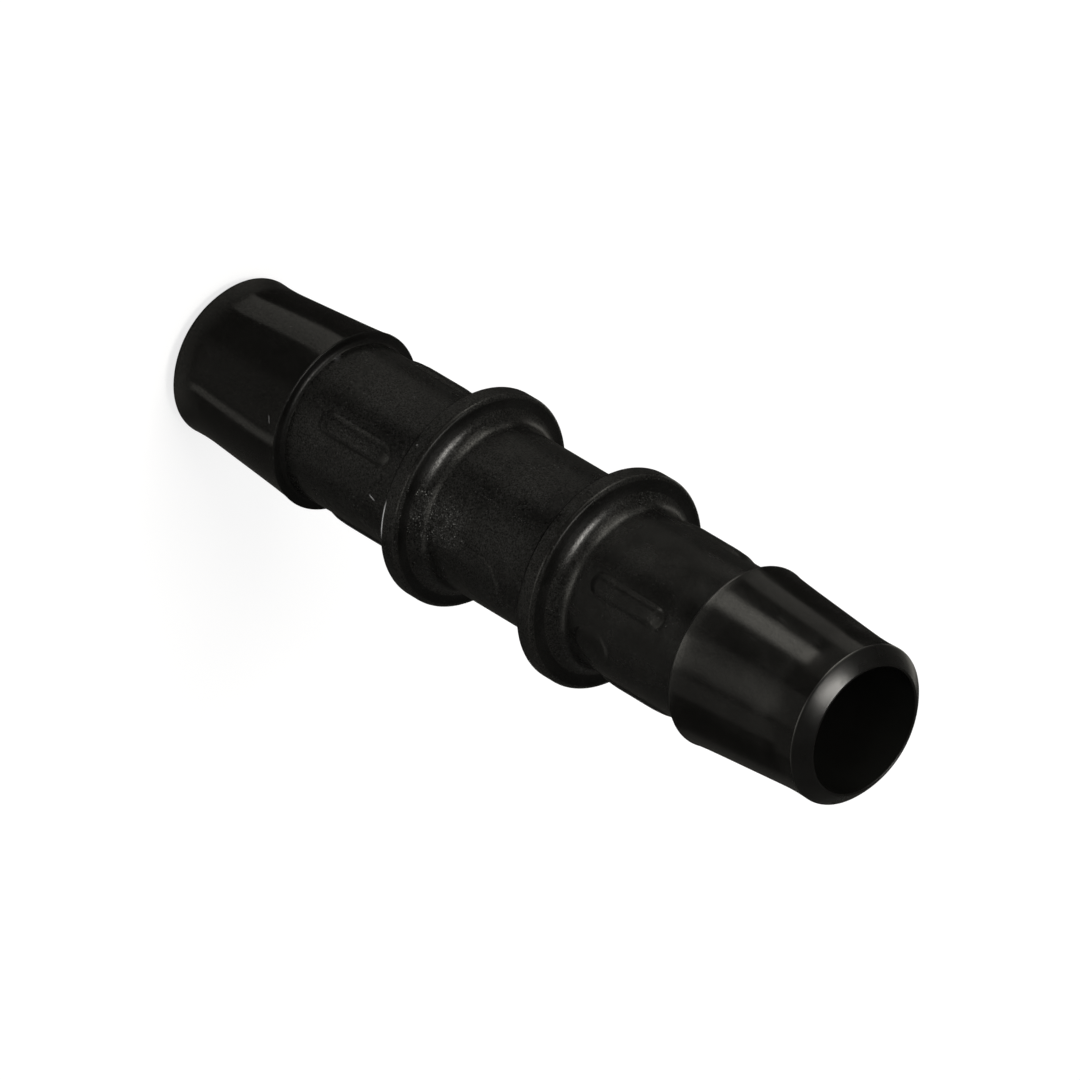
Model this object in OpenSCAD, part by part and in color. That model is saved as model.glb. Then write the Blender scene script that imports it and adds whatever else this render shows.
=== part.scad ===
/* [Bore] */
// Diameter of the bore that runs straight through
bore_d = 12.5; // [10:0.1:13.4]
// Width of the flat rim left round each mouth of the bore
rim_w = 0.25; // [0.1:0.05:0.6]

/* [Hose barbs] */
// Length of a barb, from its sharp shoulder to the end of the tube
barb_len = 16.25; // [12:0.25:24]
// Diameter of the sharp shoulder that bites into the hose
shoulder_d = 17.9; // [17:0.1:20]
// Length of the steeper lead next to the shoulder
lead_len = 1.7; // [0.5:0.1:4]
// How much the lead falls, in radius
lead_fall = 0.23; // [0.05:0.01:0.5]
// Diameter of the waist, where the long taper ends
waist_d = 15.7; // [15:0.1:16.5]
// Length of the slight flare from the waist to the lip
flare_len = 2.3; // [1:0.1:4]
// How much the lip stands proud of the waist, in radius
lip_rise = 0.04; // [0:0.01:0.3]
// Length of the chamfer from the lip down to the rim
chamfer_len = 1.35; // [0.6:0.05:2.4]
// Radius of the fillet where the shoulder's back face meets the neck
shoulder_fillet_r = 0.4; // [0.1:0.05:0.6]

/* [Necks] */
// Diameter of the neck, on which the clamped hose seats
neck_d = 15.7; // [15:0.1:16.5]
// Length of the neck, from the collar to the shoulder's back face
neck_len = 16.3; // [14:0.05:30]

/* [Collars] */
// Diameter of a collar, which stops the hose
collar_d = 21.3; // [20:0.1:28]
// Width of a collar's rim
collar_w = 2.1; // [1:0.1:3]
// Radius that breaks the edges of the rim
collar_edge_r = 0.35; // [0.05:0.05:0.4]
// Radius of the fillet at the foot of a collar, on both faces
collar_fillet_r = 1.85; // [0.5:0.05:2]

/* [Middle] */
// Diameter of the body between the collars
middle_d = 16.2; // [15.5:0.1:17]
// Length of the body between the collars
middle_len = 16.2; // [10:0.1:40]

/* [Grip ribs] */
// Number of ribs round each neck
rib_count = 4; // [3:1:6]
// Length of a rib over its round ends
rib_len = 9.35; // [5:0.05:10]
// Width of a rib
rib_w = 2.2; // [1:0.1:3]
// Height of a rib above the neck
rib_h = 0.33; // [0.1:0.01:0.6]

/* [Ejector pads] */
// Diameter of the pad on each neck
neck_pad_d = 4.2; // [2:0.1:5]
// Diameter of the pad on the middle
middle_pad_d = 6; // [2:0.1:7]
// Height of a pad above the surface round it
pad_h = 0.06; // [0.03:0.01:0.15]
// Distance from a collar's outer face to the middle of the neck's pad
pad_setback = 4.95; // [4.6:0.05:8]
// Direction of the pads round the axis, in degrees from the first rib
pad_angle = 135; // [0:5:360]

/* [Hidden] */
$fn = 96;
bore_r = bore_d / 2;
collar_near = middle_len / 2;
collar_far = collar_near + collar_w;
shoulder_at = collar_far + neck_len;
half_len = shoulder_at + barb_len;
lip_at = half_len - chamfer_len;
waist_at = lip_at - flare_len;
rib_at = collar_far + neck_len / 2;
pad_at = collar_far + pad_setback;

// One corner fillet of radius r, rooted a little way into both of its walls
module corner_fillet(r) {
    root = 0.2;
    difference() {
        translate([-root, -root]) square(r + root);
        translate([r, r]) circle(r = r);
    }
}

// Section of a collar: a bar from the axis out, with its two outer corners rounded
module collar_section() {
    r = collar_d / 2;
    square([r - collar_edge_r, collar_w]);
    translate([0, collar_edge_r]) square([r, collar_w - 2 * collar_edge_r]);
    for (y = [collar_edge_r, collar_w - collar_edge_r])
        translate([r - collar_edge_r, y]) circle(r = collar_edge_r);
}

// Section of a barb: shoulder, lead, long taper, waist, flared lip, chamfer and flat rim
module barb_section() {
    polygon([
        [0, shoulder_at],
        [shoulder_d / 2, shoulder_at],
        [shoulder_d / 2 - lead_fall, shoulder_at + lead_len],
        [waist_d / 2, waist_at],
        [waist_d / 2 + lip_rise, lip_at],
        [bore_r + rim_w, half_len],
        [0, half_len]
    ]);
}

// Section of one half of the connector, from the mid-plane to the end of the tube
module half_section() {
    square([middle_d / 2, collar_far]);
    translate([middle_d / 2, collar_near]) mirror([0, 1]) corner_fillet(collar_fillet_r);
    translate([0, collar_near]) collar_section();
    translate([neck_d / 2, collar_far]) corner_fillet(collar_fillet_r);
    translate([0, collar_near]) square([neck_d / 2, shoulder_at - collar_near + lead_len]);
    translate([neck_d / 2, shoulder_at]) mirror([0, 1]) corner_fillet(shoulder_fillet_r);
    barb_section();
}

// The turned form: both halves of the section, less the bore, spun round the axis
module turned_form() {
    rotate_extrude() difference() {
        union() {
            half_section();
            mirror([0, 1]) half_section();
        }
        translate([0, -half_len - 1]) square([bore_r, 2 * half_len + 2]);
    }
}

// Keeps what its children have between the middle of the wall and a height above its outside
module raised_on(outside_r, height) {
    intersection() {
        children();
        difference() {
            cylinder(r = outside_r + height, h = 4 * half_len, center = true);
            cylinder(r = (bore_r + outside_r) / 2, h = 4 * half_len + 1, center = true);
        }
    }
}

// A rib with full round ends along the neck, at the side that +X points to
module grip_rib() {
    flat_len = rib_len - rib_w;
    raised_on(neck_d / 2, rib_h) rotate([0, 90, 0]) linear_extrude(height = neck_d) {
        square([flat_len, rib_w], center = true);
        for (end = [-1, 1])
            translate([end * flat_len / 2, 0]) circle(d = rib_w);
    }
}

// A round pad left by an ejector pin, at the side that +X points to
module ejector_pad(outside_d, pad_d) {
    raised_on(outside_d / 2, pad_h) rotate([0, 90, 0]) cylinder(d = pad_d, h = outside_d);
}

// The whole connector, moulded in one piece and standing on one end
module connector() {
    color([0.05, 0.05, 0.055]) translate([0, 0, half_len]) {
        turned_form();
        for (side = [-1, 1]) {
            for (i = [0 : rib_count - 1])
                rotate([0, 0, 360 * i / rib_count]) translate([0, 0, side * rib_at]) grip_rib();
            rotate([0, 0, pad_angle]) translate([0, 0, side * pad_at]) ejector_pad(neck_d, neck_pad_d);
        }
        rotate([0, 0, pad_angle]) ejector_pad(middle_d, middle_pad_d);
    }
}

connector();
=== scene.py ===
"""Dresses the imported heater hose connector: its fine mesh, its plastic, the studio and the camera."""

import logging
import math
from dataclasses import dataclass, field
from enum import Enum, IntEnum
from typing import Sequence, Union

import bmesh
import bpy
from mathutils import Matrix, Vector


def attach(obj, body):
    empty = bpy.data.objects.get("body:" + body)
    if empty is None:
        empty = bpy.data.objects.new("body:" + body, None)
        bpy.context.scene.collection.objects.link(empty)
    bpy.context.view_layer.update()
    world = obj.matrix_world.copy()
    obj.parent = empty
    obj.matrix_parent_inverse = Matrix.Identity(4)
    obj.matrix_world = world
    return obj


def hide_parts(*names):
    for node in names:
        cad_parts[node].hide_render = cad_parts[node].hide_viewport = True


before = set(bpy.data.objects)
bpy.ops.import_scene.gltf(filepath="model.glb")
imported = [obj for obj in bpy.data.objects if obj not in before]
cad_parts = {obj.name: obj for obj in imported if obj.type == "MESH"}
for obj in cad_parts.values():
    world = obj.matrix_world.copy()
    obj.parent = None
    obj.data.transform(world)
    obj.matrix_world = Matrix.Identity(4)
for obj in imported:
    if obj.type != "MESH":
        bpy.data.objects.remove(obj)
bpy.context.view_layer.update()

MM = 0.001
BODY = "root"
NODE = "connector"

logging.basicConfig(level=logging.INFO, format="%(message)s")
log = logging.getLogger("connector")

Value = Union[bpy.types.NodeSocket, float, int, tuple, bpy.types.ID]
# Radius and place of a point of the section, in mm
Spot = tuple[float, float]
# First place, last place and step of a stretch that gets a finer mesh
Fine = tuple[float, float, float]
# Radius and height of a card's edge in mm, and the tone there
Edge = tuple[float, float, float]

# The kinds of a tree's inputs, except for plain lengths, angles and shares
SOCKETS = {
    int: "NodeSocketInt",
    bpy.types.Object: "NodeSocketObject",
    bpy.types.Material: "NodeSocketMaterial",
}
# Gaps under this count as none
TINY = 1e-6
# The photograph's directions round the axis start 7 degrees before the first rib's
TURN = -7.0
# The lowest reflection card lies this far above the floor, and each next one a step higher, in mm
CARD_LIFT = 0.3
CARD_STEP = 0.02
# Cards that don't lie on the floor hang at this distance from the foot, in mm
HUNG_R = 860.0
LAMP_TINT = (1.03, 1.0, 0.94)
CARD_TINT = (1.03, 1.0, 0.9)


class Skin(IntEnum):
    """The finishes that the mould leaves, in the order of the material slots."""

    BARB = 0
    BODY = 1
    BORE = 2
    LIP = 3
    FACE = 4

    @property
    def label(self) -> str:
        """The finish's name as an input of the moulding tree."""
        return self.name.title() + " Skin"


class Seen(Enum):
    """Which rays see a studio object, as (camera, diffuse, glossy, shadow)."""

    FLOOR = (True, True, True, True)
    CARD = (False, False, True, False)


class Graph:
    """A node tree with short calls for the nodes that come up often."""

    def __init__(self, tree: bpy.types.NodeTree) -> None:
        """Takes a tree and empties it."""
        self.tree = tree
        tree.nodes.clear()

    def add(self, kind: str, **settings: object) -> bpy.types.Node:
        """Adds a node.

        Args:
            kind: The node's type, by its class name.
            settings: The node's own properties.

        Returns:
            The new node.
        """
        node = self.tree.nodes.new(kind)
        for name, value in settings.items():
            setattr(node, name, value)
        return node

    def feed(self, socket: bpy.types.NodeSocket, value: Value) -> None:
        """Links a socket, or sets it to a constant.

        Args:
            socket: The input that gets the value.
            value: An output socket to link, or the constant.
        """
        if isinstance(value, bpy.types.NodeSocket):
            self.tree.links.new(value, socket)
        else:
            socket.default_value = value

    def node(self, kind: str, inputs: dict, **settings: object) -> bpy.types.Node:
        """Adds a node and feeds its inputs.

        Args:
            kind: The node's type, by its class name.
            inputs: Values by input name or number.
            settings: The node's own properties.

        Returns:
            The new node.
        """
        made = self.add(kind, **settings)
        for name, value in inputs.items():
            self.feed(made.inputs[name], value)
        return made

    def group(self, tree: bpy.types.NodeTree, values: dict[str, Value]) -> bpy.types.bpy_prop_collection:
        """Places a shared shader group with its own values and gives its outputs."""
        return self.node("ShaderNodeGroup", values, node_tree=tree).outputs

    def math(self, operation: str, *values: Value) -> bpy.types.NodeSocket:
        """Adds a Math node with one to three operands."""
        return self.node("ShaderNodeMath", dict(enumerate(values)), operation=operation).outputs[0]

    def remap(
        self, value: Value, start: Value, end: Value, low: Value, high: Value, smooth: bool = True
    ) -> bpy.types.NodeSocket:
        """Adds a clamped Map Range node.

        Args:
            value: What is mapped.
            start: Where the range begins.
            end: Where the range ends.
            low: The result at its start.
            high: The result at its end.
            smooth: Whether the way between is an S-curve.

        Returns:
            The mapped value.
        """
        inputs = {"Value": value, "From Min": start, "From Max": end, "To Min": low, "To Max": high}
        kind = "SMOOTHSTEP" if smooth else "LINEAR"
        return self.node("ShaderNodeMapRange", inputs, interpolation_type=kind).outputs["Result"]

    def mix(self, amount: Value, first: Value, second: Value) -> bpy.types.NodeSocket:
        """Adds a Mix node for two plain values."""
        return self.node("ShaderNodeMix", {0: amount, 2: first, 3: second}, data_type="FLOAT").outputs[0]

    def mix_values(self, share: Value, first: Value, second: Value) -> bpy.types.NodeSocket:
        """Blends two values with plain Math nodes, as geometry trees need it."""
        return self.math("MULTIPLY_ADD", share, self.math("SUBTRACT", second, first), first)

    def tint(self, amount: Value, first: Value, second: Value) -> bpy.types.NodeSocket:
        """Adds a Mix node for two colours."""
        return self.node("ShaderNodeMix", {0: amount, 6: first, 7: second}, data_type="RGBA").outputs[2]

    def hypot(self, first: Value, second: Value) -> bpy.types.NodeSocket:
        """Length of the hypotenuse over two sides."""
        squares = self.math("MULTIPLY", second, second)
        return self.math("SQRT", self.math("MULTIPLY_ADD", first, first, squares))


def unit_vector(azimuth: float, elevation: float) -> Vector:
    """Unit vector from an azimuth and an elevation in radians."""
    level = math.cos(elevation)
    return Vector((level * math.cos(azimuth), level * math.sin(azimuth), math.sin(elevation)))


def add_object(name: str, data: bpy.types.ID) -> bpy.types.Object:
    """Makes an object and links it to the scene.

    Args:
        name: The object's name.
        data: Its mesh, camera or lamp.

    Returns:
        The new object.
    """
    made = bpy.data.objects.new(name, data)
    bpy.context.scene.collection.objects.link(made)
    return made


def start_material(name: str) -> tuple[bpy.types.Material, Graph]:
    """Makes a material with an empty node tree.

    Args:
        name: The material's name.

    Returns:
        The material and its graph.
    """
    material = bpy.data.materials.new(name)
    material.use_nodes = True
    return material, Graph(material.node_tree)


@dataclass(frozen=True)
class SectionPoint:
    """A point of the turned section: radius and height in mm, the finish after it, and its relief."""

    radius: float
    height: float
    skin: Skin
    relief: float = 0.0


@dataclass
class TurnedSection:
    """The closed section that is turned round the axis, in mm, measured from the mid-plane.

    A fillet turns dull from an angle in degrees on, and its two numbers of steps are for the part before that
    angle and the part after it.
    """

    bore_r: float = 6.25
    middle_r: float = 8.1
    neck_r: float = 7.85
    collar_r: float = 10.65
    collar_near: float = 8.1
    collar_far: float = 10.2
    collar_edge_r: float = 0.42
    collar_edge_steps: int = 9
    collar_fillet_r: float = 1.88
    collar_fillet_steps: tuple[int, int] = (11, 4)
    collar_dull_from: float = 70.0
    collar_relief: float = 0.6
    shoulder_at: float = 26.5
    shoulder_r: float = 8.95
    shoulder_edge_r: float = 0.14
    shoulder_edge_steps: int = 6
    shoulder_fillet_r: float = 0.4
    shoulder_fillet_steps: tuple[int, int] = (3, 5)
    shoulder_dull_from: float = 15.0
    taper_r: float = 8.84
    taper_slope: float = 0.0797
    lead_rise: float = 0.09
    lead_fade: float = 1.2
    flare_at: float = 37.97
    flare_r: float = 24.0
    flank_support: float = 0.06
    flank_steps: int = 26
    flank_growth: float = 1.15
    lip_at: float = 41.5
    lip_edge_r: float = 0.35
    lip_sink: float = 0.4
    lip_start_deg: float = 5.0
    lip_end_deg: float = 46.0
    half_len: float = 42.75
    rim_w: float = 0.25
    rim_edge_r: float = 0.16
    rim_set: float = 0.5
    mouth_steps: int = 4
    chamfer_bulge: float = 0.03
    chamfer_steps: int = 8
    bore_edge_r: float = 0.1
    bore_support: float = 0.03
    bore_steps: int = 30
    wall_step: float = 0.8
    fine_step: float = 0.16
    support: float = 0.05
    support_share: float = 0.3
    points: list[SectionPoint] = field(default_factory=list)

    def barb_radius(self, place: float) -> float:
        """Radius of the barb's outside.

        Args:
            place: Distance from the mid-plane in mm, between shoulder and lip.

        Returns:
            The radius in mm: a convex lead, the long taper, then the slight flare to the lip.
        """
        run = place - self.shoulder_at
        lead = self.lead_rise * math.exp(-run / self.lead_fade)
        radius = self.taper_r - self.taper_slope * run + lead
        past = place - self.flare_at
        if past > 0:
            radius += past**2 / (2 * self.flare_r)
        return radius

    def line(self, start: Spot, end: Spot, steps: int, skin: Skin, relief: float = 0.0) -> None:
        """Adds a straight stretch, with a supporting point near each end so that it shades flat.

        Args:
            start: Radius and place where it starts, in mm.
            end: Radius and place where it ends, in mm.
            steps: How many steps it has between its supporting points.
            skin: The finish along it.
            relief: How far ribs, pads and the parting line show on it.
        """
        length = math.dist(start, end)
        edge = min(self.support / length, self.support_share)
        shares = [0.0] + [edge + (1 - 2 * edge) * i / steps for i in range(steps + 1)]
        for share in shares:
            radius = start[0] + (end[0] - start[0]) * share
            height = start[1] + (end[1] - start[1]) * share
            self.points.append(SectionPoint(radius, height, skin, relief))

    def arc(self, centre: Spot, radius: float, start: float, end: float, steps: int, skin: Skin) -> None:
        """Adds a true arc, without its last point, which the next stretch begins with.

        Args:
            centre: Radius and place of its centre, in mm.
            radius: Its radius in mm.
            start: Its first direction in degrees from the outward radius, towards the end of the tube.
            end: Its last direction.
            steps: How many steps it has.
            skin: The finish along it.
        """
        for i in range(steps):
            angle = math.radians(start + (end - start) * i / steps)
            place = centre[1] + radius * math.sin(angle)
            self.points.append(SectionPoint(centre[0] + radius * math.cos(angle), place, skin))

    def wall(self, radius: float, start: float, end: float, fine: Sequence[Fine]) -> None:
        """Adds a plain wall of the body, with finer steps where relief stands on it.

        Args:
            radius: The wall's radius in mm.
            start: Where it starts.
            end: Where it ends.
            fine: Stretches as (first place, last place, step), in mm.
        """
        edges = [start, start + self.support, end - self.support]
        place = start + self.support
        while place < end - self.support:
            steps = [step for low, high, step in fine if low <= place < high]
            ahead = [low - place for low, _, _ in fine if low > place + TINY]
            place += min(steps + [self.wall_step] + [max(gap, self.fine_step / 2) for gap in ahead])
            edges.append(min(place, end - self.support))
        for height in sorted({round(edge, 4) for edge in edges}):
            self.points.append(SectionPoint(radius, height, Skin.BODY, 1.0))

    def collar(self) -> None:
        """Adds one collar with its fillets, faces and rounded rim."""
        fillet, out, dull = self.collar_fillet_r, self.collar_r, self.collar_dull_from
        near, far, edge = self.collar_near, self.collar_far, self.collar_edge_r
        steps, (bright_steps, dull_steps) = self.collar_edge_steps, self.collar_fillet_steps
        self.arc((self.middle_r + fillet, near - fillet), fillet, 180, 180 - dull, bright_steps, Skin.BODY)
        self.arc((self.middle_r + fillet, near - fillet), fillet, 180 - dull, 90, dull_steps, Skin.FACE)
        self.line((self.middle_r + fillet, near), (out - edge, near), 1, Skin.FACE)
        self.arc((out - edge, near + edge), edge, -90, 0, steps, Skin.BODY)
        self.line((out, near + edge), (out, far - edge), 2, Skin.BODY, self.collar_relief)
        self.arc((out - edge, far - edge), edge, 0, 90, steps, Skin.BODY)
        self.line((out - edge, far), (self.neck_r + fillet, far), 1, Skin.FACE)
        self.arc((self.neck_r + fillet, far + fillet), fillet, -90, -180 + dull, dull_steps, Skin.FACE)
        self.arc((self.neck_r + fillet, far + fillet), fillet, -180 + dull, -180, bright_steps, Skin.BODY)

    def shoulder(self) -> None:
        """Adds the fillet behind the shoulder, the shoulder's flat back and its sharp edge."""
        fillet, edge, dull = self.shoulder_fillet_r, self.shoulder_edge_r, self.shoulder_dull_from
        at, (bright_steps, dull_steps) = self.shoulder_at, self.shoulder_fillet_steps
        self.arc((self.neck_r + fillet, at - fillet), fillet, 180, 180 - dull, bright_steps, Skin.BODY)
        self.arc((self.neck_r + fillet, at - fillet), fillet, 180 - dull, 90, dull_steps, Skin.FACE)
        self.line((self.neck_r + fillet, at), (self.shoulder_r - edge, at), 1, Skin.FACE)
        self.arc((self.shoulder_r - edge, at + edge), edge, -90, 0, self.shoulder_edge_steps, Skin.FACE)

    def flank(self, start: float, end: float) -> None:
        """Adds the barb's curved outside, with steps that grow away from the shoulder.

        Args:
            start: Where it starts, in mm from the mid-plane.
            end: Where the lip's round takes over.
        """
        first, steps = self.flank_support, self.flank_steps
        shares = [(i / steps) ** self.flank_growth for i in range(1, steps + 1)]
        for run in [0.0, first] + [first + (end - start - 2 * first) * share for share in shares]:
            self.points.append(SectionPoint(self.barb_radius(start + run), start + run, Skin.BARB))

    def mouth(self, start: float) -> None:
        """Adds the lip, the chamfer, and the rim round the mouth of the bore.

        Args:
            start: Where the lip's round starts, in mm from the mid-plane.
        """
        lip, rim, inner = self.lip_edge_r, self.rim_edge_r, self.bore_edge_r
        steps, turn_deg = self.mouth_steps, self.lip_end_deg
        lip_r, rim_r, turn = self.barb_radius(start), self.bore_r + self.rim_w, math.radians(turn_deg)
        top = (lip_r - lip + lip * math.cos(turn), start + lip * math.sin(turn))
        seat = (rim_r - rim * (self.rim_set - math.cos(turn)), self.half_len - rim * (1 - math.sin(turn)))
        self.arc((lip_r - lip, start), lip, self.lip_start_deg, turn_deg, steps, Skin.LIP)
        for i in range(self.chamfer_steps):
            share = i / self.chamfer_steps
            bulge = self.chamfer_bulge * 4 * share * (1 - share)
            radius = top[0] + (seat[0] - top[0]) * share + bulge
            self.points.append(SectionPoint(radius, top[1] + (seat[1] - top[1]) * share + bulge, Skin.LIP))
        self.arc((rim_r - rim * self.rim_set, self.half_len - rim), rim, turn_deg, 90, steps, Skin.LIP)
        self.arc((self.bore_r + inner, self.half_len - inner), inner, 90, 180, steps, Skin.LIP)

    def half(self, fine_neck: Sequence[Fine], fine_middle: Sequence[Fine]) -> list[SectionPoint]:
        """Builds the outside of one half, from the mid-plane to the bore's mouth.

        Args:
            fine_neck: Finer stretches of the neck's wall.
            fine_middle: Finer stretches of the middle's wall.

        Returns:
            The points in order, with heights measured from the mid-plane.
        """
        self.points = []
        self.wall(self.middle_r, 0.0, self.collar_near - self.collar_fillet_r, fine_middle)
        self.collar()
        neck_end = self.shoulder_at - self.shoulder_fillet_r
        self.wall(self.neck_r, self.collar_far + self.collar_fillet_r, neck_end, fine_neck)
        self.shoulder()
        lip_start = self.lip_at - self.lip_edge_r * self.lip_sink
        self.flank(self.shoulder_at + self.shoulder_edge_r, lip_start)
        self.mouth(lip_start)
        return self.points

    def loop(self, fine_neck: Sequence[Fine], fine_middle: Sequence[Fine]) -> list[SectionPoint]:
        """Builds the whole closed section, standing on the floor.

        Args:
            fine_neck: Finer stretches of the neck's wall.
            fine_middle: Finer stretches of the middle's wall.

        Returns:
            The points in order: up the outside, then down through the bore.
        """
        upper = self.half(fine_neck, fine_middle)
        lower = []
        for i in range(len(upper) - 1, 0, -1):
            here, before = upper[i], upper[i - 1]
            lower.append(SectionPoint(here.radius, -here.height, before.skin, here.relief))
        outside = lower + upper
        mouth = self.half_len - self.bore_edge_r
        gap, steps = self.bore_support, self.bore_steps
        bore = [mouth - gap - (2 * mouth - 2 * gap) * i / steps for i in range(steps + 1)]
        wall = [SectionPoint(self.bore_r, place, Skin.BORE) for place in [mouth] + bore]
        return [
            SectionPoint(point.radius, point.height + self.half_len, point.skin, point.relief)
            for point in outside + wall
        ]


@dataclass
class GripRibs:
    """The low ribs that grip the hose: their number round each neck and their sizes in mm."""

    count: int = 4
    length: float = 9.35
    width: float = 2.2
    height: float = 0.33
    side_soft: float = 0.75
    end_soft: float = 1.1
    run_out: float = 2.6
    end_share: float = 0.58
    place: float = 18.25
    step: float = 0.13

    def fine_places(self) -> list[Fine]:
        """Finds the stretches of the neck where a rib's round ends need finer steps.

        Returns:
            The two stretches, in mm from the mid-plane.
        """
        reach, margin = self.length / 2, self.width / 2 + self.step
        low, high = self.place - reach, self.place + reach
        return [
            (low - self.step, low + margin, self.step),
            (high - margin, high + self.step, self.step),
        ]

    def fine_arcs(self, radius: float) -> list[Fine]:
        """Arcs round the axis where the ribs' walls need finer steps.

        Args:
            radius: The radius in mm that the ribs stand on.

        Returns:
            Arcs as (first angle, last angle, step), in degrees.
        """
        half = math.degrees((self.width / 2 + self.step) / radius)
        step = math.degrees(self.step / radius)
        pitch = 360 / self.count
        return [(pitch * i - half, pitch * i + half, step) for i in range(self.count)]


@dataclass
class EjectorPads:
    """The round pads that ejector pins leave, all on one side: sizes in mm and direction in degrees."""

    neck_r: float = 2.1
    middle_r: float = 3.0
    height: float = 0.09
    soft: float = 0.14
    place: float = 15.15
    direction: float = 135.0
    step: float = 0.2

    def fine_neck(self) -> list[Fine]:
        """Stretch of the neck where the pad's edge needs finer steps."""
        reach = self.neck_r + self.soft
        return [(self.place - reach, self.place + reach, self.step)]

    def fine_middle(self) -> list[Fine]:
        """Stretch of the middle where the pad's edge needs finer steps."""
        return [(0.0, self.middle_r + self.soft, self.step)]

    def fine_arcs(self, radius: float) -> list[Fine]:
        """Arc in degrees, at a radius in mm, where the pads' edges need finer steps."""
        half = math.degrees((self.middle_r + self.soft) / radius)
        return [(self.direction - half, self.direction + half, math.degrees(self.step / radius))]


@dataclass
class PartingLine:
    """The faint line where the two halves of the mould met: sizes in mm and direction in degrees."""

    height: float = 0.02
    width: float = 0.14
    direction: float = 45.0
    half_steps: int = 3

    def fine_arcs(self, radius: float) -> list[Fine]:
        """Arcs in degrees, at a radius in mm, that hold the line's ridge on both sides."""
        half = math.degrees(self.width / radius)
        return [(self.direction + turn - half, self.direction + turn + half, half / self.half_steps)
                for turn in (0, 180)]


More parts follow.
